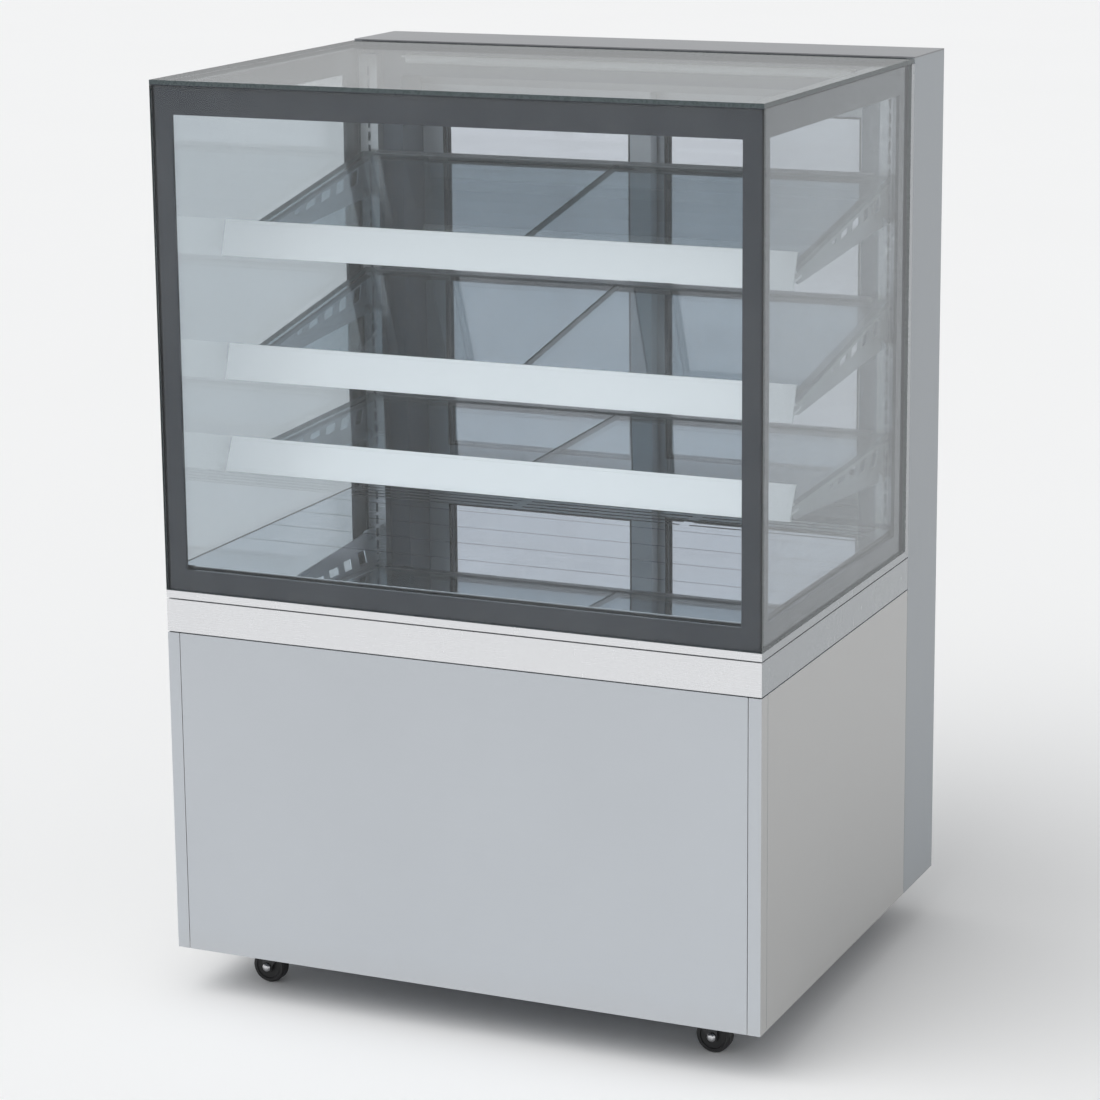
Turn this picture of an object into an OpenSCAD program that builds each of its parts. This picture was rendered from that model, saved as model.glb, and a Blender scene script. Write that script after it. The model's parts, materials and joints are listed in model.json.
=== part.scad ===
// Refrigerated bakery display case: a square glass box with three tilting glass shelves on a
// panelled base with the cooling unit, two sliding doors at the back and four casters.
// The floor is z = 0, the customer's side faces -Y, and the origin is under the case's middle.

/* [Cabinet] */
// Overall width
width = 900; // [860:10:1200]
// Overall depth
depth = 755; // [740:5:800]
// Overall height, floor to the top of the rear cover
height = 1330; // [1320:5:1400]
// Gap between the floor and the base panels
floor_gap = 70; // [68:1:80]
// Height of the top edge of the base panels
base_top = 543; // [530:1:547]
// Height of the polished belt above the base panels
belt_h = 47; // [40:1:48]
// Depth of the rear frame that holds the sliding doors
frame_depth = 138; // [136:1:150]
// Thickness of the folded sheet panels
sheet = 1.5; // [1:0.1:2]

/* [Glazing] */
// Height of the bottom edge of the front and side glass
glass_bottom = 605; // [600:1:620]
// Thickness of the outer panes and of the top glass
outer_pane = 5; // [4:0.5:5.5]
// Thickness of the inner panes
inner_pane = 4; // [3:0.5:4.5]
// Width of the cavity between the two panes
cavity = 5; // [4:0.5:6]
// Width of the dark border at the bottom and sides of the front glass
border = 31; // [20:1:45]
// Width of the dark border at the top
top_border = 40; // [30:1:50]

/* [Shelves] */
// Angle of the two upper shelves, front edge down
display_tilt = 10.5; // [8:0.5:12]
// Angle of the lowest shelf, front edge down
low_tilt = 2; // [0:0.5:3]
// Length of a shelf bracket from its pivot to its tip
arm_len = 408; // [380:1:410]
// Thickness of the shelf glass
shelf_pane = 8; // [6:0.5:10]

/* [Doors] */
// Width of the jamb on each side of the door opening
jamb_w = 79; // [70:1:90]
// Thickness of a sliding door
door_t = 24; // [20:1:24]
// Width of a door's stiles
stile = 34; // [34:1:40]
// How far the two doors overlap when shut
door_overlap = 24; // [20:1:40]

/* [Casters] */
// Diameter of a caster wheel
wheel_d = 50; // [46:1:52]
// Width of a caster wheel
wheel_w = 20; // [16:1:22]
// Distance from the swivel axis to the wheel's axle
trail = 18; // [15:1:20]

/* [Hidden] */
$fn = 48;

// Colours
satin_steel = [0.78, 0.79, 0.80];
panel_grey = [0.74, 0.75, 0.76];
cheek_grey = [0.56, 0.58, 0.60];
cover_grey = [0.42, 0.43, 0.44];
print_black = [0.13, 0.14, 0.16];
glass_tint = [0.75, 0.85, 0.88, 0.35];
rail_white = [0.90, 0.90, 0.89];
plastic_black = [0.08, 0.08, 0.09];
tub_grey = [0.30, 0.31, 0.33];
copper = [0.70, 0.42, 0.28];

// Cabinet positions; y is measured from the customer's side, before from_front() shifts it
half_w = width / 2;
gap = 2;
slit = 0.1;
frame_y = depth - frame_depth;
belt_bottom = base_top + gap;
belt_top = belt_bottom + belt_h;
post_w = 18.5;
post_d = 23.5;
fold = 15;
cover_t = 2;
panel_y = depth - 5;

// Glazing positions
unit_t = outer_pane + cavity + inner_pane;
print_t = 0.6;
glass_top = height - 9.5;
top_pane_bottom = height - cover_t - 6;
glass_back = frame_y - 15;
side_front_border = 36;
side_back_border = 38;
top_side_border = 38;

// Well and deck
tub_bottom = 440;
tub_wall = 30;
kerb_top = 630;
kerb_half = half_w - 17;
kerb_front = 17;
kerb_back = frame_y - 17;
deck_top = 640;
tray_edges = [kerb_front, 190, 280, 370, 465];
grille_back = kerb_back - 2;

// Shelf uprights: slots every 20 mm, one of which carries each shelf
upright_x = half_w - 31;
upright_w = 30;
upright_y = frame_y - 17;
slot_pitch = 20;
pivot_y = upright_y - 2;
pivot_z = [1143, 963, 763];
shelf_tilts = [display_tilt, display_tilt, low_tilt];
slot_low = pivot_z[2] - 5 * slot_pitch;
slot_count = 32;
glass_low = 12;
glass_front = -438;
rail_half = half_w - 17;
shelf_half = rail_half - 8;
rear_rail_half = shelf_half - 25;

// Doors
opening_half = half_w - jamb_w;
door_low = 647;
door_high = height - 60;
door_w = opening_half - 1 + door_overlap / 2;
inner_door_y = frame_y + 83;
outer_door_y = inner_door_y + door_t + 6;
sill_top = 643;
header_bottom = height - 54;
track_low = door_high - 12;
left_door_x = -opening_half + 1;
right_door_x = opening_half - 1 - door_w;
grip_inset = 15;
grip_w = 22;
grip_h = 120;
grip_z = 955;

// Machinery
pan_bottom = floor_gap + 3;
pan_top = pan_bottom + 2;
pan_half = half_w - 16;
pan_front = 15.5;
tray_half = 150;
gland_x = -250;
gland_y = 700;
cond_fan = [170, 345, 200];
evap_fan = [0, 330, 535];
cond_fan_r = 61;
evap_fan_r = 51;

// Controls on the back
control_x = opening_half - 106;
control_z = 523;
control_face = panel_y + 2.6;
rocker_x = [control_x - 60, control_x - 37];
button_x = [control_x + 35, control_x + 49];
cutout_half = 70;
trunnion_r = 0.8;

// Casters
caster_x = half_w - 119;
caster_front_y = 93;
caster_back_y = depth - 93;
wheel_r = wheel_d / 2;
axle_r = 4;
fork_top = 60;
swivel_r = 6;
fit = 0.05;
brake_x = 40;
brake_z = 50;

module from_front() {
    translate([0, -depth / 2, 0]) children();
}

module block(x0, x1, y0, y1, z0, z1) {
    translate([x0, y0, z0]) cube([x1 - x0, y1 - y0, z1 - z0]);
}

module both_sides() {
    for (side = [0, 1]) mirror([side, 0, 0]) children();
}

// A cylinder along Y from y0 to y1
module rod_y(x, z, r, y0, y1) {
    translate([x, y0, z]) rotate([-90, 0, 0]) cylinder(r = r, h = y1 - y0);
}

// A cylinder along X from x0 to x1
module rod_x(y, z, r, x0, x1) {
    translate([x0, y, z]) rotate([0, 90, 0]) cylinder(r = r, h = x1 - x0);
}

// ---------- Base ----------

// Floor pan, its upstands and four legs under the tub; the folded panels hang outside them
module base_frame() {
    color(tub_grey) from_front() {
        difference() {
            block(-pan_half, pan_half, pan_front, panel_y - 3, pan_bottom, pan_top);
            translate([gland_x, gland_y, pan_bottom - 1]) cylinder(r = 10, h = 4);
        }
        block(-pan_half, pan_half, pan_front, pan_front + 2, pan_top + slit, pan_top + 20);
        both_sides() {
            block(pan_half - 2, pan_half, pan_front + 2 + slit, panel_y - 3, pan_top + slit,
                pan_top + 20);
            for (y = [pan_front + 3, frame_y - 28])
                block(pan_half - 28, pan_half - 3, y, y + 25, pan_top + slit, tub_bottom - slit);
        }
    }
}

module front_panel() {
    edge = half_w - post_w - 1;
    color(panel_grey) from_front() difference() {
        block(-edge, edge, 0, fold, floor_gap, base_top);
        block(-edge + sheet, edge - sheet, sheet, fold + 1, floor_gap + sheet, base_top - sheet);
    }
}

module side_panels() {
    color(panel_grey) from_front() both_sides() difference() {
        block(half_w - fold, half_w, post_d + 1, frame_y - 1, floor_gap, base_top);
        block(half_w - fold - 1, half_w - sheet, post_d + 1 + sheet, frame_y - 1 - sheet,
            floor_gap + sheet, base_top - sheet);
    }
}

module front_corner_posts() {
    color(panel_grey) from_front() both_sides() difference() {
        block(half_w - post_w, half_w, 0, post_d, floor_gap, base_top);
        block(half_w - post_w - 1, half_w - sheet, sheet, post_d + 1, floor_gap - 1, base_top + 1);
    }
}

module belt_band() {
    color(satin_steel) from_front() {
        block(-half_w, half_w, 0, gap, belt_bottom, belt_top);
        both_sides() block(half_w - gap, half_w, gap + slit, frame_y - 1, belt_bottom, belt_top);
    }
}

// The polished sill under the glass, and the strips between the side glass and the rear frame
module glass_trim() {
    sill_low = belt_top + gap;
    sill_d = 16;
    color(satin_steel) from_front() {
        block(-half_w, half_w, 0, sill_d, sill_low, glass_bottom - slit);
        both_sides() {
            block(pan_half, half_w, sill_d + slit, glass_back, sill_low, glass_bottom - slit);
            block(half_w - unit_t, half_w, glass_back + 0.5, frame_y - 0.5, sill_low, glass_top);
        }
    }
}

// Foam-filled tub under the deck; its kerb stands inside the glass and carries the deck
module well_tub() {
    color(tub_grey) from_front() difference() {
        union() {
            block(-pan_half, pan_half, pan_front, frame_y, tub_bottom, belt_bottom);
            block(-half_w + gap + slit, half_w - gap - slit, gap + slit, frame_y,
                base_top + 1, belt_top);
            block(-kerb_half, kerb_half, kerb_front, kerb_back, belt_top, kerb_top);
        }
        block(-kerb_half + tub_wall / 2, kerb_half - tub_wall / 2, kerb_front + tub_wall / 2,
            kerb_back - tub_wall / 2, tub_bottom + tub_wall, kerb_top + 1);
    }
}

module deck_tray(y0, y1) {
    half = kerb_half - 1;
    rim = 1;
    difference() {
        block(-half, half, y0, y1 - gap, kerb_top + slit, deck_top);
        block(-half + rim, half - rim, y0 + rim, y1 - gap - rim, kerb_top, deck_top - 1.2);
    }
}

// Four lift-out trays and, behind them, the slotted grille that the cold air leaves by
module deck_trays() {
    grille_front = tray_edges[4];
    slot_half = 132;
    slot_w = 6;
    color(satin_steel) from_front() {
        for (i = [0 : 3]) deck_tray(tray_edges[i], tray_edges[i + 1]);
        difference() {
            deck_tray(grille_front, grille_back + gap);
            for (x = [-280, 0, 280], y = [500 : 3 * slot_w : 590])
                block(x - slot_half, x + slot_half, y, y + slot_w, deck_top - 2, deck_top + 1);
        }
    }
}

// ---------- Glass ----------

module front_glass() {
    inner_half = half_w - outer_pane - cavity - 0.5;
    color(glass_tint) from_front() {
        block(-half_w, half_w, 0, outer_pane, glass_bottom, glass_top);
        block(-inner_half, inner_half, outer_pane + cavity + slit, unit_t, glass_bottom, glass_top);
    }
}

module side_glass() {
    block(half_w - outer_pane, half_w, outer_pane + print_t + 0.4, glass_back, glass_bottom,
        glass_top);
    block(half_w - unit_t, half_w - unit_t + inner_pane - slit, unit_t + 0.5, glass_back,
        glass_bottom, glass_top);
}

module left_glass() {
    color(glass_tint) from_front() mirror([1, 0, 0]) side_glass();
}

module right_glass() {
    color(glass_tint) from_front() side_glass();
}

module top_glass() {
    color(glass_tint) from_front()
        block(-half_w, half_w, 0, frame_y - 5, top_pane_bottom, top_pane_bottom + 6);
}

module front_border() {
    inner_y = outer_pane + cavity;
    spacer_half = half_w - outer_pane - print_t - 0.4;
    difference() {
        union() {
            block(-half_w, half_w, outer_pane + slit, outer_pane + print_t, glass_bottom, glass_top);
            block(-spacer_half, spacer_half, outer_pane + print_t, inner_y, glass_bottom, glass_top);
        }
        block(-half_w + border, half_w - border, outer_pane - 1, inner_y + 1,
            glass_bottom + border, glass_top - top_border);
    }
}

module side_border() {
    pane_in = half_w - outer_pane;
    spacer_in = half_w - outer_pane - cavity;
    y0 = outer_pane + print_t + 0.4;
    difference() {
        union() {
            block(pane_in - print_t, pane_in - slit, y0, glass_back, glass_bottom, glass_top);
            block(spacer_in, pane_in - print_t, outer_pane + cavity + 0.5, glass_back,
                glass_bottom, glass_top);
        }
        block(spacer_in - 1, pane_in + 1, side_front_border, glass_back - side_back_border,
            glass_bottom + border, glass_top - top_border);
    }
}

// The dark printed borders with the spacer bars behind them
module glass_borders() {
    color(print_black) from_front() {
        front_border();
        both_sides() side_border();
        difference() {
            block(-half_w, half_w, 0, frame_y - 5, glass_top + 0.3, top_pane_bottom - slit);
            block(-half_w + top_side_border, half_w - top_side_border, top_border,
                glass_back - top_side_border, glass_top, top_pane_bottom + 1);
        }
    }
}

// ---------- Rear frame ----------

// Folded outer covers of the two jambs, full height
module rear_cheeks() {
    top = height - cover_t - slit;
    color(cheek_grey) from_front() both_sides() difference() {
        block(opening_half, half_w, frame_y, depth, floor_gap, top);
        block(opening_half - 1, half_w - sheet, frame_y + sheet, depth - sheet, floor_gap - 1,
            top + 1);
        block(opening_half - 1, half_w - 14, frame_y - 1, frame_y + sheet + 1, floor_gap - 1,
            top + 1);
    }
}

module top_cover() {
    color(cover_grey) from_front() {
        block(-half_w, half_w, frame_y, depth, height - cover_t, height);
        block(-opening_half + 1, opening_half - 1, depth - sheet, depth,
            header_bottom, height - cover_t);
    }
}

// Jambs open to the outside, a header and a sill, all folded from sheet
module rear_frame() {
    y0 = frame_y + sheet + slit;
    y1 = depth - sheet - slit;
    wall = 2;
    top = height - cover_t - 1;
    color(tub_grey) from_front() {
        both_sides() {
            difference() {
                block(opening_half, half_w - sheet - slit, y0, y1, pan_top + 21, top);
                block(opening_half + wall, half_w, y0 + wall, y1 - wall, pan_top + 20, top + 1);
            }
            block(opening_half - 20, opening_half - slit, panel_y - 2 - wall, panel_y - wall,
                pan_top + 21, belt_top);
        }
        difference() {
            block(-opening_half + slit, opening_half - slit, y0, y1 - sheet, header_bottom, top);
            block(-opening_half, opening_half, y0 + wall, y1 - wall - sheet,
                header_bottom + wall, top + 1);
        }
        difference() {
            block(-opening_half + slit, opening_half - slit, y0, panel_y, belt_top + slit,
                sill_top);
            block(-opening_half, opening_half, y0 + wall, panel_y - wall, belt_top,
                sill_top - wall);
        }
    }
}

// Lower track with a rib under each door, and upper track with a channel over each door
module door_tracks() {
    x = opening_half - 0.5;
    rib = 2.5;
    color(cover_grey) from_front() {
        union() {
            block(-x, x, inner_door_y - 16, outer_door_y + 16, sill_top + slit, sill_top + 2);
            for (y = [inner_door_y, outer_door_y])
                block(-x, x, y - rib, y + rib, sill_top + 1, sill_top + 10);
        }
        difference() {
            block(-x, x, inner_door_y - 19, outer_door_y + 19, track_low, header_bottom - slit);
            for (y = [inner_door_y, outer_door_y])
                block(-x - 1, x + 1, y - door_t / 2 - 1, y + door_t / 2 + 1, track_low - 1,
                    door_high + 2);
        }
    }
}

// Slotted channels that the shelf brackets hook into
module shelf_uprights() {
    left = upright_x - upright_w / 2;
    right = upright_x + upright_w / 2;
    color(satin_steel) from_front() both_sides() difference() {
        block(left, right, upright_y, frame_y + sheet, deck_top + 4, glass_top - 12);
        block(left + sheet, right - sheet, upright_y + sheet, frame_y + 2, deck_top + 3,
            glass_top - 11);
        for (i = [0 : slot_count - 1])
            block(upright_x - 2, upright_x + 2, upright_y - 1, upright_y + sheet + 1,
                slot_low + i * slot_pitch - 7, slot_low + i * slot_pitch + 7);
    }
}

module header_light() {
    y0 = frame_y - 20;
    z0 = glass_top - 26;
    half = opening_half - 11;
    color(rail_white) from_front() {
        block(-half, half, y0, frame_y + sheet, z0 + 12, z0 + 15);
        rod_x(y0 + 10, z0 + 9, 7, -half + 5, half - 5);
    }
}

// ---------- Screws ----------

// A pan-head screw whose head faces along -Y
module screw_front(x, y, z) {
    difference() {
        rod_y(x, z, 3.6, y - 2.2, y);
        rod_y(x, z, 1.3, y - 3, y - 1);
    }
    rod_y(x, z, 1.8, y - 0.2, y + 8);
}

module screw_back(x, y, z) {
    translate([x, y, z]) mirror([0, 1, 0]) screw_front(0, 0, 0);
}

module panel_screws() {
    screw_z = [1254, 1087, 1069, 909, 891, 731, 713];
    color(satin_steel) from_front() {
        both_sides() {
            for (z = screw_z) screw_front(upright_x + 9, upright_y, z);
            for (z = [105, 225, 345, 465, 580]) screw_back(opening_half - 9, panel_y, z);
        }
        for (x = [-70, 70], z = [-36, 36]) screw_back(control_x + x, control_face, control_z + z);
    }
}

// ---------- Rear panel and controls ----------

module louvre(x, z) {
    length = 150;
    translate([x - length / 2, panel_y, z]) rotate([90, 0, 90]) linear_extrude(length)
        polygon([[-1, 9], [3.5, 1], [3.5, 0], [2.2, 0], [-1, 6]]);
}

module rear_panel() {
    half = opening_half - 1;
    color(cheek_grey) from_front() {
        difference() {
            block(-half, half, panel_y - sheet, panel_y, pan_top + 2, belt_top - 1);
            block(-tray_half - 4, tray_half + 4, panel_y - 5, panel_y + 5, pan_top, 126);
            block(control_x - cutout_half, control_x + cutout_half, panel_y - 5, panel_y + 5,
                control_z - 26, control_z + 26);
            for (x = [-235, -65, 105], i = [0 : 15])
                block(x - 72, x + 72, panel_y - 5, panel_y + 5, 165 + i * 22, 170 + i * 22);
        }
        for (x = [-235, -65, 105], i = [0 : 15]) louvre(x, 165 + i * 22);
    }
}

// Fascia with a raised thermostat bezel, two rocker openings and two button openings
module control_panel() {
    depth_in = 40;
    color(plastic_black) from_front() difference() {
        union() {
            block(control_x - 80, control_x + 80, panel_y + slit, control_face,
                control_z - 45, control_z + 45);
            block(control_x - 20, control_x + 62, control_face - 1, control_face + 1.6,
                control_z - 18, control_z + 18);
            block(control_x - 18, control_x + 60, panel_y - depth_in, panel_y + 1,
                control_z - 16, control_z + 16);
        }
        block(control_x - 14, control_x + 24, control_face + 0.8, control_face + 3,
            control_z - 11, control_z + 11);
        for (x = rocker_x) {
            block(x - 7, x + 7, panel_y - 10, control_face + 1, control_z - 10, control_z + 10);
            rod_x(control_face - 1.2, control_z, trunnion_r + fit, x - 8, x + 8);
        }
        for (x = button_x)
            block(x - 5, x + 5, panel_y - 4, control_face + 3, control_z - 5, control_z + 5);
    }
}

// Rocker with two faces at an angle, lying tipped on its trunnions
module rocker(x) {
    color(plastic_black) from_front() translate([x, control_face - 1.2, control_z]) {
        rotate([-10, 0, 0]) translate([-6.3, 0, 0]) rotate([90, 0, 90]) linear_extrude(12.6)
            polygon([[-5, -5], [0.8, -9], [2.2, 0], [0.8, 9], [-5, 5]]);
        rod_x(0, 0, trunnion_r, -7.8, 7.8);
    }
}

module power_switch() {
    rocker(rocker_x[0]);
}

module light_switch() {
    rocker(rocker_x[1]);
}

module button(x) {
    color(rail_white) from_front()
        block(x - 4.5, x + 4.5, panel_y - 1.2, control_face + 2.2, control_z - 4.5,
            control_z + 4.5);
}

module up_button() {
    button(button_x[0]);
}

module down_button() {
    button(button_x[1]);
}

// Cable gland through the floor pan, its mouth facing down
module cable_gland() {
    color(plastic_black) from_front() translate([gland_x, gland_y, 0]) difference() {
        union() {
            translate([0, 0, pan_bottom - 5]) cylinder(r = 14, h = 5, $fn = 6);
            translate([0, 0, pan_bottom - 18]) cylinder(r = 10.5, h = 13.5);
            translate([0, 0, pan_bottom - 1]) cylinder(r = 9.9, h = 12);
            translate([0, 0, pan_top + slit]) cylinder(r = 14, h = 5, $fn = 6);
        }
        translate([0, 0, pan_bottom - 19]) cylinder(r = 4, h = 32);
    }
}

// ---------- Cooling unit ----------

// Hermetic compressor: a domed can on a plate with four rubber feet
module compressor() {
    can_r = 82;
    color(plastic_black) from_front() translate([-235, 250, pan_top]) {
        rotate_extrude($fn = 64) polygon([
            [0, 12], [can_r - 10, 12], [can_r, 30], [can_r, 150], [can_r - 8, 168],
            [can_r - 26, 182], [can_r - 52, 190], [0, 192]
        ]);
        block(-105, 105, -60, 60, 8, 13);
        for (x = [-90, 90], y = [-45, 45]) translate([x, y, 0]) cylinder(r = 11, h = 9);
        block(can_r - 12, can_r + 26, -30, 30, 70, 135);
        translate([-60, 55, 120]) rotate([-90, 0, 0]) cylinder(r = 5, h = 60);
        translate([0, 0, 190]) cylinder(r = 6, h = 14);
    }
}

// Finned coil: thin plates across X on rows of tubes, with closed end plates
module coil(x0, x1, y0, y1, z0, z1, fins, rows) {
    pitch = (x1 - x0) / fins;
    for (i = [1 : fins - 1])
        block(x0 + i * pitch - 0.5, x0 + i * pitch + 0.5, y0, y1, z0, z1);
    for (x = [x0, x1 - gap]) block(x, x + gap, y0 - 3, y1 + 3, z0 - 4, z1 + 4);
    row_h = (z1 - z0) / rows;
    for (row = [0 : rows - 1], y = [y0 + 15, y1 - 15])
        rod_x(y, z0 + (row + 0.5) * row_h, 5, x0 - 12, x1 + 12);
}

module condenser_coil() {
    color(copper) from_front() {
        coil(60, 280, 390, 445, 95, 305, 18, 6);
        for (x = [60, 280 - gap]) block(x, x + gap, 390, 445, pan_top, 100);
    }
}

module evaporator_coil() {
    color(satin_steel) from_front() {
        coil(-190, 190, 390, 470, 486, 590, 20, 3);
        for (x = [-190, 190 - gap])
            block(x, x + gap, 390, 470, tub_bottom + tub_wall, 490);
    }
}

// Plate with a fan hole, and a motor held behind the hole on three arms
module fan_mount(centre, hole_r, x_half, z0, z1) {
    translate([centre[0], centre[1], 0]) {
        difference() {
            block(-x_half, x_half, 0, 3, z0, z1);
            rod_y(0, centre[2], hole_r, -1, 4);
        }
        rod_y(0, centre[2], 26, -60, -20);
        rod_y(0, centre[2], 3, -21, 10);
        for (a = [90, 210, 330]) translate([0, 0, centre[2]]) rotate([0, a, 0])
            block(20, hole_r + 8, -34, -28, -4, 4);
        for (a = [90, 210, 330]) translate([0, 0, centre[2]]) rotate([0, a, 0])
            block(hole_r + 2, hole_r + 8, -34, 1, -4, 4);
    }
}

module fan_mounts() {
    color(tub_grey) from_front() {
        fan_mount(cond_fan, 65, 110, pan_top, 305);
        fan_mount(evap_fan, 55, 190, tub_bottom + tub_wall, 600);
    }
}

// Axial fan wheel with pitched blades on a bored hub
module fan_wheel(centre, r) {
    translate(centre) difference() {
        union() {
            rod_y(0, 0, 16, -14, 12);
            for (a = [0 : 72 : 288]) rotate([0, a, 0]) rotate([35, 0, 0])
                block(12, r - 2, -1.2, 1.2, -15, 15);
        }
        rod_y(0, 0, 3 + fit, -20, 20);
    }
}

module condenser_fan() {
    color(plastic_black) from_front() fan_wheel(cond_fan, cond_fan_r);
}

module evaporator_fan() {
    color(plastic_black) from_front() fan_wheel(evap_fan, evap_fan_r);
}

// Open tray for the melt water, pulled out at the back by its lip
module condensate_tray() {
    color(plastic_black) from_front() {
        difference() {
            block(-tray_half, tray_half, 470, panel_y - 2, pan_top + 0.4, 116);
            block(-tray_half + 3, tray_half - 3, 473, panel_y - 5, pan_top + 3.4, 117);
        }
        block(-tray_half, tray_half, panel_y - 2.5, panel_y + 0.5, pan_top + 4, 124);
        block(-60, 60, panel_y, panel_y + 4.5, 116, 120);
    }
}

// ---------- Sliding doors ----------

module door_frame(x0, y) {
    x1 = x0 + door_w;
    half = door_t / 2;
    top_rail = 42;
    bottom_rail = 40;
    difference() {
        block(x0, x1, y - half, y + half, door_low, door_high);
        block(x0 + stile, x1 - stile, y - half - 1, y + half + 1, door_low + bottom_rail,
            door_high - top_rail);
        block(x0 + stile - 8, x1 - stile + 8, y - 8, y + 8, door_low + bottom_rail - 8,
            door_high - top_rail + 8);
        block(x0 - 1, x1 + 1, y - 4, y + 4, door_low - 1, door_low + 10);
    }
}

// Two panes held in the frame's groove
module door_glass(x0, y) {
    x1 = x0 + door_w;
    for (side = [-7.5, 3.5])
        block(x0 + stile - 7.5, x1 - stile + 7.5, y + side, y + side + 4, door_low + 32.5,
            door_high - 34.5);
}

module grip_pocket(x, y, clearance) {
    block(x - grip_w / 2 - clearance, x + grip_w / 2 + clearance, y + 1 - clearance,
        y + door_t / 2 + 1, grip_z - grip_h / 2 - clearance, grip_z + grip_h / 2 + clearance);
}

// Finger cup set into a stile, flush with the door's back
module door_grip(x, y) {
    color(plastic_black) from_front() difference() {
        intersection() {
            grip_pocket(x, y, 0);
            block(x - 50, x + 50, y, y + door_t / 2, 0, height);
        }
        block(x - 8, x + 8, y + 2.5, y + door_t, grip_z - 54, grip_z + 54);
    }
}

module left_door_frame() {
    color(satin_steel) from_front() difference() {
        door_frame(left_door_x, inner_door_y);
        grip_pocket(left_door_x + grip_inset, inner_door_y, slit);
    }
}

module right_door_frame() {
    color(satin_steel) from_front() difference() {
        door_frame(right_door_x, outer_door_y);
        grip_pocket(right_door_x + door_w - grip_inset, outer_door_y, slit);
    }
}

module left_door_glass() {
    color(glass_tint) from_front() door_glass(left_door_x, inner_door_y);
}

module right_door_glass() {
    color(glass_tint) from_front() door_glass(right_door_x, outer_door_y);
}

module left_door_grip() {
    door_grip(left_door_x + grip_inset, inner_door_y);
}

module right_door_grip() {
    door_grip(right_door_x + door_w - grip_inset, outer_door_y);
}

// ---------- Shelves ----------

// Places a shelf drawn level, with its pivot at the origin, at its own height and tilt
module on_shelf(n) {
    from_front() translate([0, pivot_y, pivot_z[n]]) rotate([shelf_tilts[n], 0, 0]) children();
}

module shelf_glass(n) {
    color(glass_tint) on_shelf(n) both_sides()
        block(1.5, shelf_half, glass_front, -6, glass_low, glass_low + shelf_pane);
}

// Front ticket rail gripping the glass, leaning back, and a channel on the rear edge
module shelf_rails(n) {
    top = glass_low + shelf_pane;
    color(rail_white) on_shelf(n) {
        translate([-rail_half, 0, 0]) rotate([90, 0, 90]) linear_extrude(2 * rail_half)
            polygon([
                [-448, 1], [-446.6, 0.2], [-441, 0.2], [-440.2, 2.6], [-443, 3.2], [-440, 8.5],
                [-411, 8.5], [-411, glass_low - slit], [-438.2, glass_low - slit],
                [-438.2, top + slit], [-428, top + slit], [-428, top + 2], [-434, top + 2],
                [-422.4, 44.2], [-418.6, 43.4], [-418, 45.2], [-424, 47], [-425, 45.9],
                [-426.4, 43.3], [-425.6, 42.8], [-426.4, 41.4], [-427.1, 41.8], [-445.2, 7.4]
            ]);
        difference() {
            block(-rear_rail_half, rear_rail_half, -18, -3, glass_low - 2, top + 2);
            block(-rear_rail_half - 1, rear_rail_half + 1, -19, -5.9, glass_low - slit,
                top + slit);
        }
    }
}

// Tapered cantilever arm with a glass flange, punched openings, a hook and a tilt screw
module shelf_bracket(tilt_most) {
    plate = 2;
    seat = glass_low - slit;
    slots = [[-62, 24, 22], [-112, 24, 17], [-162, 30, 13], [-212, 30, 9], [-250, 16, 5]];
    translate([upright_x - plate / 2, 0, 0]) {
        rotate([90, 0, 90]) linear_extrude(plate) difference() {
            polygon([
                [-arm_len, seat], [-arm_len + 16, -10], [-arm_len + 22, -11.5],
                [-52 * sin(tilt_most) - 1, -50], [0, seat - 2], [0, seat]
            ]);
            for (s = slots)
                polygon([[s[0], 2], [s[0] + s[1], 2], [s[0] + s[1] - s[2] * 0.4, 2 - s[2]],
                    [s[0] - s[2] * 0.4, 2 - s[2]]]);
        }
        block(-12, plate, -arm_len, -20, seat - 1.5, seat);
        block(0, plate, -6, 9, -4, 4);
        rod_x(0, 0, 4.5, -0.8, plate + 0.8);
        block(0, plate, 6, 9, -9, 4);
        rod_y(1, -42, 8, -35, -23);
        rod_y(1, -42, 3, -24, -12);
    }
}

module shelf_brackets(n) {
    color(satin_steel) on_shelf(n) both_sides() shelf_bracket(display_tilt);
}

module shelf_1_glass() {
    shelf_glass(0);
}

module shelf_1_rails() {
    shelf_rails(0);
}

module shelf_1_brackets() {
    shelf_brackets(0);
}

module shelf_2_glass() {
    shelf_glass(1);
}

module shelf_2_rails() {
    shelf_rails(1);
}

module shelf_2_brackets() {
    shelf_brackets(1);
}

module shelf_3_glass() {
    shelf_glass(2);
}

module shelf_3_rails() {
    shelf_rails(2);
}

module shelf_3_brackets() {
    shelf_brackets(2);
}

// ---------- Casters ----------

// Places a caster drawn with its swivel axis on Z and its wheel towards +X
module on_caster(side, y) {
    from_front() translate([side * caster_x, y, 0]) mirror([side < 0 ? 1 : 0, 0, 0]) children();
}

module caster_plates() {
    color(satin_steel) for (side = [-1, 1], y = [caster_front_y, caster_back_y])
        on_caster(side, y) difference() {
            union() {
                block(-29, 29, -29, 29, pan_bottom - 3, pan_bottom);
                translate([0, 0, fork_top + 2]) cylinder(r = 17, h = pan_bottom - fork_top - 4);
                for (x = [-22, 22], y2 = [-22, 22])
                    translate([x, y2, pan_bottom - 8]) cylinder(r = 5.5, h = 5.5, $fn = 6);
            }
            translate([0, 0, fork_top]) cylinder(r = swivel_r + fit, h = 12);
        }
}

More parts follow.
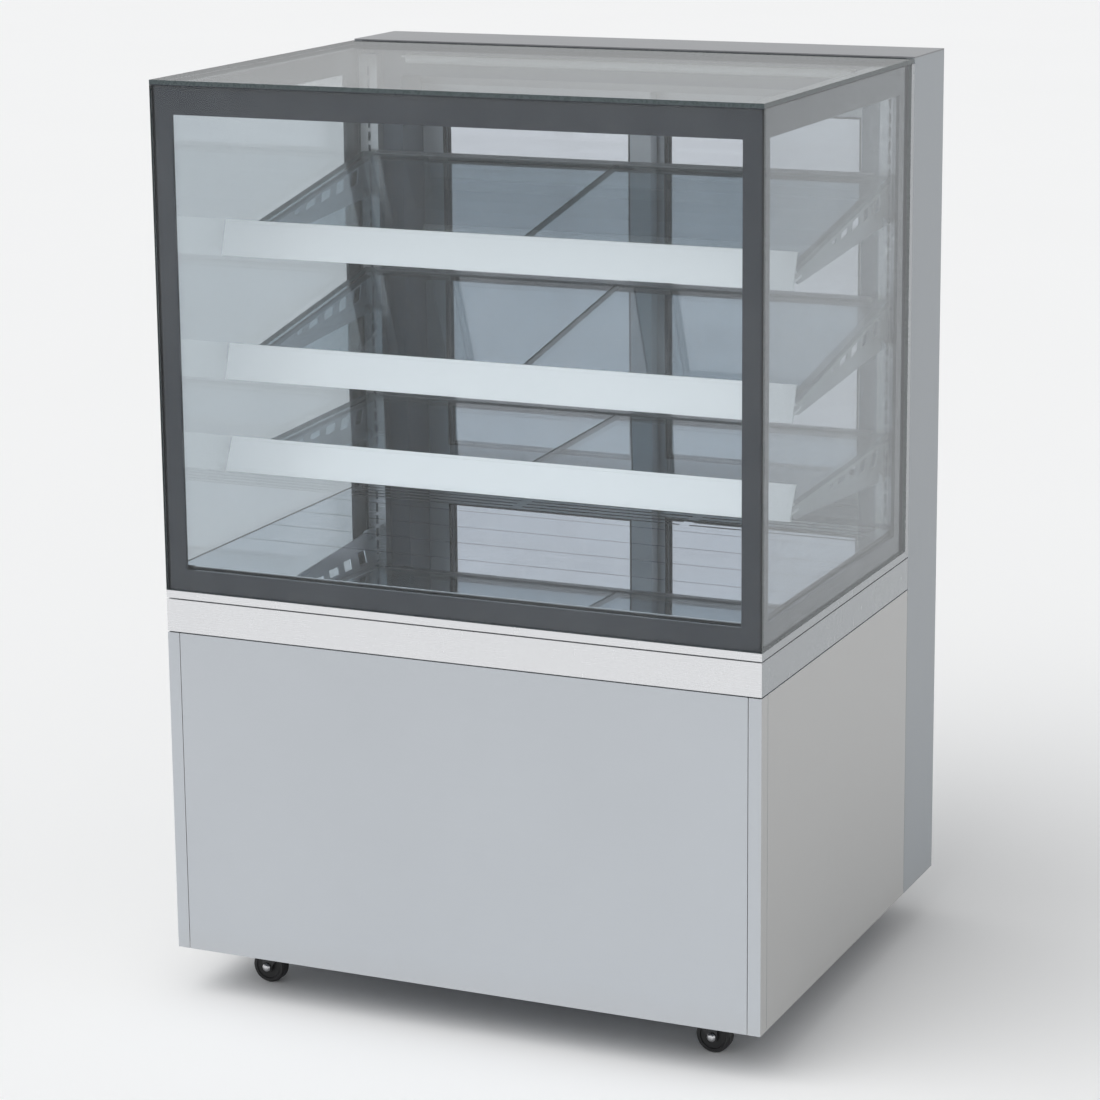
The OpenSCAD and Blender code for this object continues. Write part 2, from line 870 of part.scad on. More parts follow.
// Pressed fork with its swivel pin and axle, and for a braked caster the pedal's pin
module caster_fork(side, y, braked) {
    cheek_in = wheel_w / 2 + 1.5;
    cheek_t = 2.5;
    color(satin_steel) on_caster(side, y) {
        translate([0, 0, fork_top]) cylinder(r = 14, h = 1.6);
        translate([0, 0, fork_top]) cylinder(r = swivel_r, h = 11);
        block(-14, trail + 8, -cheek_in - cheek_t, cheek_in + cheek_t, fork_top - 4, fork_top);
        for (cheek_y = [-cheek_in - cheek_t, cheek_in]) {
            translate([0, cheek_y, 0]) {
                translate([0, cheek_t, 0]) rotate([90, 0, 0]) linear_extrude(cheek_t) polygon([
                    [-14, fork_top], [trail - 8, wheel_r + 2], [trail - 8, wheel_r],
                    [trail + 8, wheel_r], [trail + 8, wheel_r + 2], [trail + 8, fork_top]
                ]);
                rod_y(trail, wheel_r, 8, 0, cheek_t);
                if (braked) {
                    block(trail, brake_x, 0, cheek_t, brake_z - 4, brake_z + 4);
                    rod_y(brake_x, brake_z, 4, 0, cheek_t);
                }
            }
        }
        rod_y(trail, wheel_r, axle_r, -cheek_in - cheek_t - 1.5, cheek_in + cheek_t + 1.5);
        if (braked) rod_y(brake_x, brake_z, 2, -cheek_in - 1, cheek_in + 1);
    }
}

module caster_wheel(side, y) {
    half = wheel_w / 2;
    color(plastic_black) on_caster(side, y) translate([trail, 0, wheel_r])
        rotate([90, 0, 0]) rotate_extrude($fn = 64) polygon([
            [axle_r + fit, -half - 0.8], [9, -half - 0.8], [9, -half + 1.5],
            [wheel_r - 7, -half + 1.5], [wheel_r - 6, -half], [wheel_r - 2, -half],
            [wheel_r, -half + 3], [wheel_r, half - 3], [wheel_r - 2, half], [wheel_r - 6, half],
            [wheel_r - 7, half - 1.5], [9, half - 1.5], [9, half + 0.8],
            [axle_r + fit, half + 0.8]
        ]);
}

// Slice of the pedal's side profile, drawn along its slope, centred across the wheel
module pedal_slice(half, outline) {
    translate([brake_x, half, brake_z]) rotate([90, 25, 0]) linear_extrude(2 * half)
        polygon(outline);
}

// Ribbed foot pedal hinged across the fork, sloping down past the wheel
module brake_pedal(side, y) {
    half = wheel_w / 2 + 0.5;
    color(plastic_black) on_caster(side, y) difference() {
        union() {
            rod_y(brake_x, brake_z, 4.5, -half, half);
            pedal_slice(half, [[2.5, -0.5], [15, -0.5], [15, 3], [2.5, 3]]);
            pedal_slice(half + 3, [
                [14, -1], [28, -1], [28, 3.5], [26.5, 3.5], [26.5, 4.6], [25, 4.6], [25, 3.5],
                [22.5, 3.5], [22.5, 4.6], [21, 4.6], [21, 3.5], [18.5, 3.5], [18.5, 4.6],
                [17, 4.6], [17, 3.5], [14, 3.5]
            ]);
        }
        rod_y(brake_x, brake_z, 2 + fit, -half - 1, half + 1);
    }
}

module front_left_fork() {
    caster_fork(-1, caster_front_y, true);
}

module front_right_fork() {
    caster_fork(1, caster_front_y, true);
}

module rear_left_fork() {
    caster_fork(-1, caster_back_y, false);
}

module rear_right_fork() {
    caster_fork(1, caster_back_y, false);
}

module front_left_wheel() {
    caster_wheel(-1, caster_front_y);
}

module front_right_wheel() {
    caster_wheel(1, caster_front_y);
}

module rear_left_wheel() {
    caster_wheel(-1, caster_back_y);
}

module rear_right_wheel() {
    caster_wheel(1, caster_back_y);
}

module front_left_brake() {
    brake_pedal(-1, caster_front_y);
}

module front_right_brake() {
    brake_pedal(1, caster_front_y);
}

base_frame();
front_panel();
side_panels();
front_corner_posts();
belt_band();
glass_trim();
well_tub();
deck_trays();
front_glass();
left_glass();
right_glass();
top_glass();
glass_borders();
rear_cheeks();
top_cover();
rear_frame();
door_tracks();
shelf_uprights();
panel_screws();
rear_panel();
control_panel();
cable_gland();
compressor();
condenser_coil();
fan_mounts();
evaporator_coil();
header_light();
caster_plates();
condenser_fan();
evaporator_fan();
condensate_tray();
power_switch();
light_switch();
up_button();
down_button();
left_door_frame();
left_door_glass();
left_door_grip();
right_door_frame();
right_door_glass();
right_door_grip();
shelf_1_glass();
shelf_1_rails();
shelf_1_brackets();
shelf_2_glass();
shelf_2_rails();
shelf_2_brackets();
shelf_3_glass();
shelf_3_rails();
shelf_3_brackets();
front_left_fork();
front_right_fork();
rear_left_fork();
rear_right_fork();
front_left_wheel();
front_right_wheel();
rear_left_wheel();
rear_right_wheel();
front_left_brake();
front_right_brake();
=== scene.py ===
"""Looks for the bakery display case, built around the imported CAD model."""

import json
import math

import bmesh
import bpy
from mathutils import Matrix, Vector


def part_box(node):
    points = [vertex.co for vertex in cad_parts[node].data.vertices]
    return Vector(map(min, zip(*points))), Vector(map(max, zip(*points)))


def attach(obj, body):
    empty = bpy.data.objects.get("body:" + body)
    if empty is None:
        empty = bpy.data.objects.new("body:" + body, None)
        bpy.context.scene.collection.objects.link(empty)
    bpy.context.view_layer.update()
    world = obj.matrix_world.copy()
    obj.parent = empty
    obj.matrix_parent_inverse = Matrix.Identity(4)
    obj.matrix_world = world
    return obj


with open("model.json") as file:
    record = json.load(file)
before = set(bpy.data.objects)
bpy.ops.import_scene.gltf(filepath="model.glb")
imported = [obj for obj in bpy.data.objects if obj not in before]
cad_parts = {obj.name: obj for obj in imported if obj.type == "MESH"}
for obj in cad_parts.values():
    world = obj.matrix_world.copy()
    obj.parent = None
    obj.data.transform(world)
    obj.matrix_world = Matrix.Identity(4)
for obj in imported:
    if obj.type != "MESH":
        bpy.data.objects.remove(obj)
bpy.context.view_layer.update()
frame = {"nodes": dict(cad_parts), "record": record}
NODES = frame["nodes"]
JOINTS = {j["name"]: j for j in frame["record"]["behaviour"]["joints"]}
MM = 0.001


# ---------- Node helpers ----------

class Graph:
    """A material's node tree, with short calls for the nodes used here."""

    def __init__(self, name):
        self.material = bpy.data.materials.new(name)
        self.material.use_nodes = True
        self.tree = self.material.node_tree
        self.tree.nodes.clear()
        self.output = self.tree.nodes.new("ShaderNodeOutputMaterial")
        self.coords = self.tree.nodes.new("ShaderNodeTexCoord")

    def node(self, kind, settings=(), **inputs):
        made = self.tree.nodes.new("ShaderNode" + kind)
        for key, value in dict(settings).items():
            setattr(made, key, value)
        for key, value in inputs.items():
            self.put(made, key.replace("_", " "), value)
        return made

    def put(self, node, key, value):
        socket = node.inputs[int(key) if key.isdigit() else key]
        if hasattr(value, "is_output"):
            self.tree.links.new(value, socket)
        else:
            socket.default_value = value

    def math(self, operation, a, b=0.0, clamp=False):
        made = self.node("Math", {"operation": operation, "use_clamp": clamp})
        self.put(made, "0", a)
        self.put(made, "1", b)
        return made.outputs[0]

    def noise(self, scale, stretch=(1, 1, 1), detail=4, rough=0.55):
        mapped = self.node("Mapping", Vector=self.coords.outputs["Object"], Scale=stretch)
        made = self.node("TexNoise", Vector=mapped.outputs[0], Scale=scale, Detail=detail, Roughness=rough)
        return made.outputs["Fac"]

    def spread(self, value, new_low, new_high, low=0.3, high=0.7):
        """Maps the middle of a noise's range, or low to high, onto a new range."""
        made = self.node("MapRange", Value=value, From_Min=low, From_Max=high,
                         To_Min=new_low, To_Max=new_high)
        return made.outputs[0]

    def blend(self, factor, a, b):
        made = self.node("Mix", {"data_type": "RGBA"})
        self.put(made, "0", factor)
        self.put(made, "6", a)
        self.put(made, "7", b)
        return made.outputs[2]

    def mottled(self, factor, colour, amount):
        """A colour that varies either way by amount, as a share of itself."""
        return self.blend(factor, shade(colour, 1 - amount), shade(colour, 1 + amount))

    def bump(self, height, strength, distance, normal=None):
        made = self.node("Bump", Height=height, Strength=strength, Distance=distance)
        if normal is not None:
            self.put(made, "Normal", normal)
        return made.outputs[0]

    def axis(self, output, name):
        split = self.node("SeparateXYZ", Vector=self.coords.outputs[output])
        return split.outputs[name]

    def finish(self, shader):
        self.tree.links.new(shader.outputs[0], self.output.inputs[0])
        return self.material


def shade(colour, factor):
    return (*[min(1, c * factor) for c in colour[:3]], 1)


# How far a face's normal leans along an axis before the face counts as looking that way
LOOKS_ALONG = 0.6
# What each face of a pane reflects when seen straight on
LEAST_MIRROR = 0.022
DARK_EDGE = (0.045, 0.062, 0.066, 1)
# Painted reflection: grey laid over the top glass in place of the grey surround it would reflect
PAINTED_REFLECTION_GREY = (0.30, 0.31, 0.31, 1)
DUST_COLOUR = (0.42, 0.40, 0.37, 1)
# Depths that the bumps stand for, in metres
RIPPLE_DEPTH = 2 * MM
GRAIN_DEPTH = 0.4 * MM
EDGE_DEPTH = 0.3 * MM


def surface(name, colour, rough, metal=0.0, grain=400, stretch=(1, 1, 1), grain_rough=0.06,
            grain_bump=0.08, cloud=3, cloud_tint=0.05, dust=None, coat=0.0, sides=None, back=None,
            ripple=0.03, grain_tint=0.10):
    """Paint, plastic or metal: fine grain in roughness and bump, large soft clouds in colour and roughness.

    grain and cloud are noise scales, and stretch makes the grain long for brushed metal. sides is a
    darker colour painted on the faces that look along X, which is painted shade. back is (Y, colour) for
    what lies behind Y. dust is the two heights between which dust fades out.
    """
    g = Graph(name)
    fine = g.noise(grain, stretch, 3)
    soft = g.noise(cloud, (1, 1, 1), 5, 0.6)
    scuff = g.noise(cloud * 14, (1, 1, 0.35), 6, 0.7)
    tone = g.spread(soft, 0, 1)
    tint = g.mottled(tone, colour, cloud_tint)
    # Painted shade: faces that look along X take the darker sides colour instead of colour, as if less
    # light reached them.
    if sides:
        painted_shade_side = g.math("GREATER_THAN", g.math("ABSOLUTE", g.axis("Normal", "X")), LOOKS_ALONG)
        tint = g.blend(painted_shade_side, tint, g.mottled(tone, sides, cloud_tint))
    if back:
        behind = g.math("GREATER_THAN", g.axis("Object", "Y"), back[0])
        tint = g.blend(behind, tint, g.mottled(tone, back[1], 0.1))
    tint = g.blend(g.spread(fine, 0, grain_tint, 0.35, 0.65), tint, shade(colour, 1 - 2 * cloud_tint))
    gloss = g.math("ADD", g.spread(fine, rough - grain_rough, rough + grain_rough),
                   g.spread(scuff, 0, min(0.05, rough * 0.2), 0.62, 0.74))
    gloss = g.math("ADD", gloss, g.spread(soft, -rough * 0.07, rough * 0.07), True)
    if dust:
        height = g.math("ADD", g.axis("Object", "Z"), g.spread(scuff, -0.01, 0.01))
        low = g.spread(height, 0.10, 0, *dust)
        tint = g.blend(low, tint, DUST_COLOUR)
        gloss = g.math("ADD", gloss, g.math("MULTIPLY", low, 0.5), True)
    normal = g.bump(soft, ripple, RIPPLE_DEPTH)
    if grain_bump:
        normal = g.bump(fine, grain_bump, GRAIN_DEPTH, normal)
    shader = g.node("BsdfPrincipled", Base_Color=tint, Metallic=metal, Roughness=gloss, Normal=normal,
                    Coat_Weight=coat, Coat_Roughness=0.12)
    return g.finish(shader)


def pane(name, axis, tint, edge=DARK_EDGE, reflect=0.9, painted_reflection_share=0.0):
    """Clear flat glass that looks along axis: it reflects more at a slant, and its edges are dark."""
    g = Graph(name)
    slant = g.node("LayerWeight", Blend=0.5).outputs["Facing"]
    schlick = g.math("ADD", g.math("MULTIPLY", g.math("POWER", slant, 5.0), reflect), LEAST_MIRROR)
    smear = g.noise(6, (1, 1, 0.5), 6, 0.65)
    film = g.spread(smear, 0, 0.012, 0.45, 0.75)
    mirror = g.node("BsdfPrincipled", Base_Color=(0.95, 0.97, 0.98, 1), Metallic=1.0,
                    Roughness=g.spread(smear, 0.0, 0.02))
    clear = g.node("BsdfTransparent", Color=tint)
    body = g.node("MixShader", Fac=g.math("ADD", schlick, film, True))
    g.put(body, "1", clear.outputs[0])
    g.put(body, "2", mirror.outputs[0])
    # Painted reflection: a share of plain grey diffuse layer over the glass stands in for the grey surround
    # it reflects.
    if painted_reflection_share:
        grey_reflection_layer = g.node("BsdfPrincipled", Base_Color=PAINTED_REFLECTION_GREY, Roughness=0.12)
        mixed = g.node("MixShader", Fac=painted_reflection_share)
        g.put(mixed, "1", body.outputs[0])
        g.put(mixed, "2", grey_reflection_layer.outputs[0])
        body = mixed
    facing = g.math("ABSOLUTE", g.axis("Normal", axis))
    edge_bump = g.bump(g.noise(900), 0.15, EDGE_DEPTH)
    ground = g.node("BsdfPrincipled", Base_Color=g.mottled(g.noise(40), edge, 0.2),
                    Roughness=g.spread(g.noise(300), 0.18, 0.4), Normal=edge_bump)
    both = g.node("MixShader", Fac=g.math("LESS_THAN", facing, LOOKS_ALONG))
    g.put(both, "1", body.outputs[0])
    g.put(both, "2", ground.outputs[0])
    return g.finish(both)


# ---------- Materials ----------

BRUSH_X = (0.02, 1, 1)
BRUSH_Z = (1, 1, 0.02)
DUST = (0.07, 0.11)

SURFACES = {
    "frame_steel": dict(colour=(0.075, 0.096, 0.128), rough=0.40, grain=700, grain_bump=0.10),
    # panel_steel: the X-facing faces are painted a little darker and less blue than the front, which is
    # painted shade.
    "panel_steel": dict(colour=(0.47, 0.495, 0.525), rough=0.38, metal=0.35, grain=900, stretch=BRUSH_X,
        grain_rough=0.05, grain_bump=0.05, cloud=2.2, cloud_tint=0.02, dust=DUST,
        sides=(0.46, 0.46, 0.455), grain_tint=0.06),
    # polished_steel: the X-facing faces are painted about half as bright as the front, which is painted
    # shade.
    "polished_steel": dict(colour=(0.70, 0.705, 0.72), rough=0.26, metal=0.5, grain=1200,
        stretch=BRUSH_X, grain_rough=0.02, grain_bump=0.01, cloud=4, cloud_tint=0.01,
        sides=(0.34, 0.36, 0.375), ripple=0.008, grain_tint=0.03),
    "tray_steel": dict(colour=(0.62, 0.66, 0.70), rough=0.02, metal=1.0, grain=900, stretch=BRUSH_X,
        grain_rough=0.008, grain_bump=0, cloud_tint=0.02, ripple=0.002),
    "tub_plastic": dict(colour=(0.36, 0.38, 0.40), rough=0.5, grain=500),
    "black_print": dict(colour=(0.022, 0.027, 0.036), rough=0.14, grain=8, grain_rough=0.02,
        grain_bump=0, cloud_tint=0.06, ripple=0.002),
    "cheek_paint": dict(colour=(0.335, 0.36, 0.385), rough=0.42, grain=1100, grain_rough=0.05, cloud=2,
        cloud_tint=0.03, dust=DUST),
    "cover_paint": dict(colour=(0.225, 0.230, 0.242), rough=0.45, grain=1100, grain_rough=0.05,
        cloud_tint=0.04),
    "track_aluminium": dict(colour=(0.30, 0.31, 0.33), rough=0.35, metal=0.7, grain=900,
        stretch=BRUSH_X),
    "screw_steel": dict(colour=(0.62, 0.62, 0.63), rough=0.28, metal=0.95, grain=2500),
    "black_plastic": dict(colour=(0.018, 0.018, 0.020), rough=0.48, grain=1500, grain_rough=0.07,
        grain_bump=0.25),
    "black_paint": dict(colour=(0.02, 0.02, 0.022), rough=0.32, grain=600, grain_rough=0.05,
        grain_bump=0.15),
    "coil_aluminium": dict(colour=(0.55, 0.55, 0.55), rough=0.38, metal=0.85, grain=900),
    "lamp_white": dict(colour=(0.85, 0.86, 0.84), rough=0.32, grain=900),
    "switch_plastic": dict(colour=(0.02, 0.02, 0.022), rough=0.25, grain=1500),
    "button_plastic": dict(colour=(0.50, 0.50, 0.49), rough=0.35, grain=1500, grain_rough=0.05,
        grain_bump=0.15),
    "door_aluminium": dict(colour=(0.50, 0.52, 0.55), rough=0.32, metal=0.6, grain=1300,
        stretch=BRUSH_Z, grain_rough=0.025, grain_bump=0.015, cloud_tint=0.015, ripple=0.008,
        grain_tint=0.04),
    "rail_white": dict(colour=(0.93, 0.94, 0.95), rough=0.30, grain=1200, stretch=(0.05, 1, 1),
        grain_rough=0.05, grain_bump=0.04, cloud_tint=0.015, back=(0.1, (0.10, 0.11, 0.12))),
    "bracket_steel": dict(colour=(0.42, 0.44, 0.46), rough=0.30, metal=0.8, grain=1300,
        stretch=(1, 0.03, 1), grain_rough=0.025, grain_bump=0.015, cloud_tint=0.015, ripple=0.008,
        grain_tint=0.04),
    "caster_rubber": dict(colour=(0.014, 0.014, 0.015), rough=0.55, grain=900, grain_bump=0.3, cloud=40,
        cloud_tint=0.25),
}
LOOKS = {name: surface(name, **settings) for name, settings in SURFACES.items()}
PANES = {
    "front_glass": pane("glass_front", axis="Y", tint=(0.965, 0.975, 0.98, 1)),
    "side_glass": pane("glass_side", axis="X", tint=(0.87, 0.885, 0.895, 1)),
    # The top glass gets a tenth of painted grey reflection laid over it.
    "top_glass": pane("glass_top", axis="Z", tint=(0.80, 0.815, 0.82, 1), reflect=0.35, painted_reflection_share=0.10),
    "door_glass": pane("glass_door", axis="Y", tint=(0.90, 0.905, 0.92, 1)),
    "shelf_glass": pane("glass_shelf", axis="Z", tint=(0.63, 0.69, 0.725, 1), edge=(0.10, 0.14, 0.14, 1)),
}


def dress_nodes():
    """Each CAD node takes its slot's material, and each pane the glass that faces its way."""
    pane_kinds = {"front": "front_glass", "top": "top_glass", "shelf": "shelf_glass"}
    for part in frame["record"]["subparts"]:
        name, slot = part["node"], part["material_slot"]
        look = LOOKS.get(slot)
        if slot == "clear_glass":
            kind = pane_kinds.get(name.split("_")[0], "side_glass")
            look = PANES["door_glass" if "door" in name else kind]
        for holder in NODES[name].material_slots:
            holder.material = look


# ---------- Mesh helpers ----------

def show(name, data):
    made = bpy.data.objects.new(name, data)
    bpy.context.scene.collection.objects.link(made)
    return made


def mesh_from(name, bm, look):
    mesh = bpy.data.meshes.new(name)
    bm.to_mesh(mesh)
    bm.free()
    mesh.materials.append(look)
    return mesh


def piece(name, bm, body, look, bevel=0.0, smooth=False):
    """Turns bm into an object that rides on body and wears look."""
    bmesh.ops.recalc_face_normals(bm, faces=bm.faces)
    mesh = mesh_from(name, bm, look)
    made = show(name, mesh)
    if smooth:
        for face in mesh.polygons:
            face.use_smooth = True
    if bevel:
        add_bevel(made, bevel)
    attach(made, body)


def add_bevel(obj, width, segments=2):
    made = obj.modifiers.new("bevel", "BEVEL")
    made.width = width
    made.segments = segments
    made.limit_method = "ANGLE"
    made.angle_limit = math.radians(40)
    made.use_clamp_overlap = True


def add_box(bm, low, high):
    size = [h - a for a, h in zip(low, high)]
    centre = [(h + a) / 2 for a, h in zip(low, high)]
    matrix = Matrix.Translation(centre) @ Matrix.Diagonal((*size, 1))
    bmesh.ops.create_cube(bm, size=1.0, matrix=matrix)


def add_disc(bm, centre, axis, rings, sides=24):
    """A turned shape about axis: rings are (distance along the axis, radius)."""
    turn = Vector((0, 0, 1)).rotation_difference(Vector(axis)).to_matrix()
    loops = []
    for along, radius in rings:
        loop = []
        for i in range(sides):
            a = 2 * math.pi * i / sides
            offset = turn @ Vector((radius * math.cos(a), radius * math.sin(a), along))
            loop.append(bm.verts.new(Vector(centre) + offset))
        loops.append(loop)
    for a, b in zip(loops, loops[1:]):
        for i in range(sides):
            j = (i + 1) % sides
            bm.faces.new((a[i], a[j], b[j], b[i]))
    bm.faces.new(loops[0][::-1])
    bm.faces.new(loops[-1])


def ring_strip(bm, outline, profile, plane_y):
    """Sweeps a small closed profile, of (inwards, along Y) pairs, round a rectangle in an XZ plane."""
    x0, z0, x1, z1 = outline
    loops = []
    for inward, y in profile:
        loops.append([bm.verts.new((x, plane_y + y, z)) for x, z in (
            (x0 + inward, z0 + inward), (x1 - inward, z0 + inward),
            (x1 - inward, z1 - inward), (x0 + inward, z1 - inward))])
    for k, a in enumerate(loops):
        b = loops[(k + 1) % len(loops)]
        for i in range(4):
            j = (i + 1) % 4
            bm.faces.new((a[i], a[j], b[j], b[i]))


# ---------- Added detail ----------

RUBBER = surface("gasket_rubber", colour=(0.02, 0.02, 0.021), rough=0.6, grain=900, grain_bump=0.2)
SCREEN = surface("display_screen", colour=(0.012, 0.010, 0.010), rough=0.08, grain=900, grain_bump=0.01,
                 coat=0.6)


def digit_look():
    g = Graph("display_digit")
    glow = g.spread(g.noise(2500), 0.85, 1.0)
    tint = g.blend(glow, (0.2, 0.02, 0.01, 1), (0.75, 0.10, 0.05, 1))
    gloss = g.spread(g.noise(900), 0.3, 0.45)
    shader = g.node("BsdfPrincipled", Base_Color=tint, Roughness=gloss,
                    Emission_Color=(1.0, 0.12, 0.06, 1), Emission_Strength=1.2)
    return g.finish(shader)


def door_gaskets():
    """Black wedge gasket round each door's glass, on the front and the back of the frame."""
    # the frame's stiles and rails, and how far the gasket laps over them
    stile, bottom, top, lap = 34 * MM, 40 * MM, 42 * MM, 1 * MM
    # (over the glass, into the frame), mm
    section = ((0, 0.6), (1.8, 0), (4.5, 1.6), (5.0, 4.2), (0, 4.2))
    for side in ("left", "right"):
        low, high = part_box(f"{side}_door_frame")
        outline = (low.x + stile - lap, low.z + bottom - lap, high.x - stile + lap, high.z - top + lap)
        bm = bmesh.new()
        for y, way in ((low.y, 1), (high.y, -1)):
            ring_strip(bm, outline, [(over * MM, way * into * MM) for over, into in section], y)
        piece(f"{side}_door_gasket", bm, f"{side}_door", RUBBER)


def door_brush_seals():
    """Pile strips along the doors' meeting stiles."""
    width, proud, bottom_gap, top_gap = 4 * MM, 2.5 * MM, 10 * MM, 14 * MM
    low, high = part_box("left_door_frame")
    right_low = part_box("right_door_frame")[0]
    for side, x, y0, y1 in (("left", high.x - 2 * width, high.y, high.y + proud),
                            ("right", right_low.x + width, right_low.y - proud, right_low.y)):
        bm = bmesh.new()
        add_box(bm, (x, y0, low.z + bottom_gap), (x + width, y1, high.z - top_gap))
        piece(f"{side}_door_pile", bm, f"{side}_door", RUBBER, 0.6 * MM)


def segments(bm, x, y, z, on, depth):
    """A digit of a seven-bar display. x runs to the reader's right, which is towards -X on the back."""
    width, half, bar = 6.2 * MM, 5.75 * MM, 1.3 * MM
    bars = {
        "a": (0, half, width, 0), "g": (0, 0, width, 0), "d": (0, -half, width, 0),
        "f": (0, half, 0, -half), "b": (width, half, 0, -half),
        "e": (0, 0, 0, -half), "c": (width, 0, 0, -half),
    }
    for key in on:
        dx, dz, run, drop = bars[key]
        if run:
            left, right = x - dx - run + bar, x - dx - bar
            add_box(bm, (left, y, z + dz - bar / 2), (right, y + depth, z + dz + bar / 2))
        else:
            top, bottom = z + dz - bar * 0.7, z + dz + drop + bar * 0.7
            add_box(bm, (x - dx - bar / 2, y, bottom), (x - dx + bar / 2, y + depth, top))


def arrow(name, sign):
    """Raised triangle on a button."""
    low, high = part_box(name)
    x, z = (low.x + high.x) / 2, (low.z + high.z) / 2
    half, drop, proud = 2.2 * MM, 1.6 * MM, 0.12 * MM
    corners = [(x, z + sign * half), (x - half, z - sign * drop), (x + half, z - sign * drop)]
    bm = bmesh.new()
    base = [bm.verts.new((px, high.y, pz)) for px, pz in corners]
    cap = [bm.verts.new((px, high.y + proud, pz)) for px, pz in corners]
    bm.faces.new(base)
    bm.faces.new(cap[::-1])
    for i in range(3):
        j = (i + 1) % 3
        bm.faces.new((base[i], base[j], cap[j], cap[i]))
    piece(f"{name}_arrow", bm, name, SCREEN)


def controls():
    """Display window with digits in the bezel's recess, and an arrow on each button."""
    low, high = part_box("control_panel")
    middle_x, middle_z = (low.x + high.x) / 2, (low.z + high.z) / 2
    recess, screen_t, digit_t = 0.8 * MM, 0.4 * MM, 0.25 * MM
    screen_x0, screen_x1, screen_half = -13.8 * MM, 23.8 * MM, 10.8 * MM
    mark_x, mark_z, mark = -1.2 * MM, 3.8 * MM, 1.6 * MM
    floor_y = high.y - recess
    screen_y = floor_y + screen_t
    bm = bmesh.new()
    add_box(bm, (middle_x + screen_x0, floor_y, middle_z - screen_half),
            (middle_x + screen_x1, screen_y, middle_z + screen_half))
    piece("display_screen", bm, "cabinet", SCREEN, 0.1 * MM)
    bm = bmesh.new()
    for right, lit in ((19, "abcdef"), (9, "bcfg")):
        segments(bm, middle_x + right * MM, screen_y, middle_z, lit, digit_t)
    # the degree mark
    x, z = middle_x + mark_x, middle_z + mark_z
    add_box(bm, (x, screen_y, z), (x + mark, screen_y + digit_t, z + mark))
    piece("display_digits", bm, "cabinet", digit_look())
    arrow("up_button", 1)
    arrow("down_button", -1)


def caster_nuts():
    """Domed cap nuts on the ends of each axle."""
    # (out from the fork, radius), mm
    profile = ((-0.2, 6.2), (1.0, 6.2), (1.4, 5.2), (2.4, 4.8), (3.4, 3.4), (3.8, 0.8))
    rings = [(out * MM, radius * MM) for out, radius in profile]
    for corner in ("front_left", "front_right", "rear_left", "rear_right"):
        low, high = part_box(f"{corner}_fork")
        pos = Vector(JOINTS[f"{corner}_roll"]["pos_m"])
        bm = bmesh.new()
        for y, way in ((low.y, -1), (high.y, 1)):
            add_disc(bm, (pos.x, y, pos.z), (0, way, 0), rings)
        piece(f"{corner}_axle_nuts", bm, f"{corner}_caster", LOOKS["screw_steel"],
              smooth=True)


def glass_corner_seals():
    """Black silicone in the two upright corners of the front glass."""
    inset, width, near, far = 0.6 * MM, 4 * MM, 5.0 * MM, 6.2 * MM
    low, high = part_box("front_glass")
    bm = bmesh.new()
    for side in (-1, 1):
        outer = side * (high.x - inset)
        x0, x1 = sorted((outer, outer - side * width))
        add_box(bm, (x0, low.y + near, low.z), (x1, low.y + far, high.z))
    piece("corner_seals", bm, "cabinet", RUBBER)


# Rounding of the CAD nodes' edges, in mm
BEVELS = {
    1.2: ("front_panel", "side_panels", "front_corner_posts"),
    1.0: ("rear_cheeks", "left_door_frame", "right_door_frame"),
    0.8: ("belt_band", "glass_trim", "left_door_grip", "right_door_grip", "condensate_tray"),
    0.7: ("top_cover", "control_panel", "up_button", "down_button"),
    0.5: ("deck_trays", "power_switch", "light_switch", "front_left_fork", "front_right_fork",
          "rear_left_fork", "rear_right_fork"),
    0.4: ("shelf_1_rails", "shelf_2_rails", "shelf_3_rails"),
}


# ---------- Stage ----------

def floor_look():
    g = Graph("studio_floor")
    tint = g.mottled(g.noise(0.6, (1, 1, 1), 3), (0.93, 0.93, 0.93), 0.01)
    return g.finish(g.node("BsdfPrincipled", Base_Color=tint, Roughness=0.9))


def stage():
    """Plain pale floor, wide enough to reach the horizon."""
    floor_radius = 60
    bm = bmesh.new()
    bmesh.ops.create_circle(bm, cap_ends=True, segments=96, radius=floor_radius)
    show("studio_floor", mesh_from("studio_floor", bm, floor_look()))


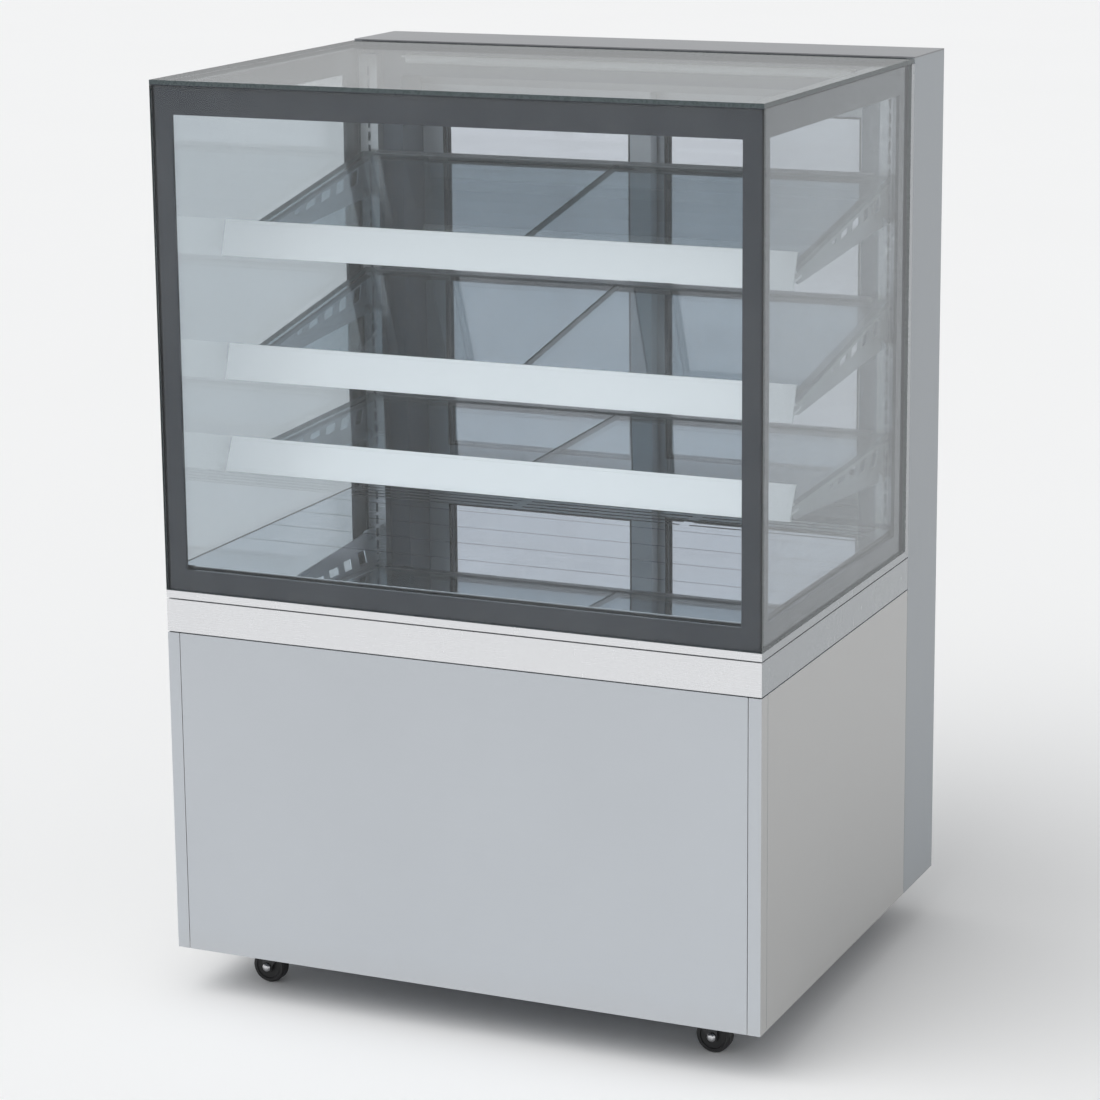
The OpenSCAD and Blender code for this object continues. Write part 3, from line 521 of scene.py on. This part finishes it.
def lights():
    """Soft studio light: a wide lamp high in front, and a surround that is brighter to the front and left.

    Only diffuse light varies with direction. Mirrors, glass and the view itself see an even white.
    """
    lamp_way = Vector((0.35, 0.50, -0.79))
    darker_way, fall, level, seen = (0.4, 0.9, 0), -0.35, 0.68, 1.0
    lamp = bpy.data.lights.new("soft_lamp", "SUN")
    lamp.energy = 1.1
    lamp.angle = math.radians(50)
    show("soft_lamp", lamp).rotation_euler = lamp_way.to_track_quat("-Z", "Y").to_euler()
    world = bpy.data.worlds.new("studio")
    bpy.context.scene.world = world
    world.use_nodes = True
    tree = world.node_tree
    coords = tree.nodes.new("ShaderNodeTexCoord")
    away = tree.nodes.new("ShaderNodeVectorMath")
    away.operation = "DOT_PRODUCT"
    away.inputs[1].default_value = darker_way
    glow = tree.nodes.new("ShaderNodeMath")
    glow.operation = "MULTIPLY_ADD"
    glow.inputs[1].default_value = fall
    glow.inputs[2].default_value = level
    path = tree.nodes.new("ShaderNodeLightPath")
    choice = tree.nodes.new("ShaderNodeMix")
    choice.inputs[2].default_value = seen
    background = tree.nodes["Background"]
    background.inputs[0].default_value = (0.985, 0.993, 1.0, 1)
    tree.links.new(coords.outputs["Generated"], away.inputs[0])
    tree.links.new(away.outputs["Value"], glow.inputs[0])
    tree.links.new(path.outputs["Is Diffuse Ray"], choice.inputs[0])
    tree.links.new(glow.outputs[0], choice.inputs[3])
    tree.links.new(choice.outputs[0], background.inputs[1])


def camera():
    """At the photograph's viewing angle: yaw to the left, pitch down, and a small roll."""
    place = (1.9405, -4.3906, 1.8052)
    yaw, pitch, roll = (math.radians(a) for a in (24.07, 12.40, -0.54))
    forward = Vector((-math.sin(yaw) * math.cos(pitch), math.cos(yaw) * math.cos(pitch), -math.sin(pitch)))
    level = Vector((math.cos(yaw), math.sin(yaw), 0))
    upright = level.cross(forward)
    right = level * math.cos(roll) + upright * math.sin(roll)
    up = upright * math.cos(roll) - level * math.sin(roll)
    data = bpy.data.cameras.new("camera")
    data.sensor_width = 36
    data.lens = 110.44
    data.shift_y = -0.08
    data.clip_end = 200
    turn = Matrix((right, up, -forward)).transposed().to_4x4()
    made = show("camera", data)
    made.matrix_world = Matrix.Translation(place) @ turn
    bpy.context.scene.camera = made


camera()
lights()
stage()
dress_nodes()
for width, rounded in BEVELS.items():
    for node in rounded:
        add_bevel(NODES[node], width * MM)
door_gaskets()
door_brush_seals()
controls()
caster_nuts()
glass_corner_seals()
bpy.context.scene.view_settings.view_transform = "Standard"
bpy.context.scene.cycles.transparent_max_bounces = 40
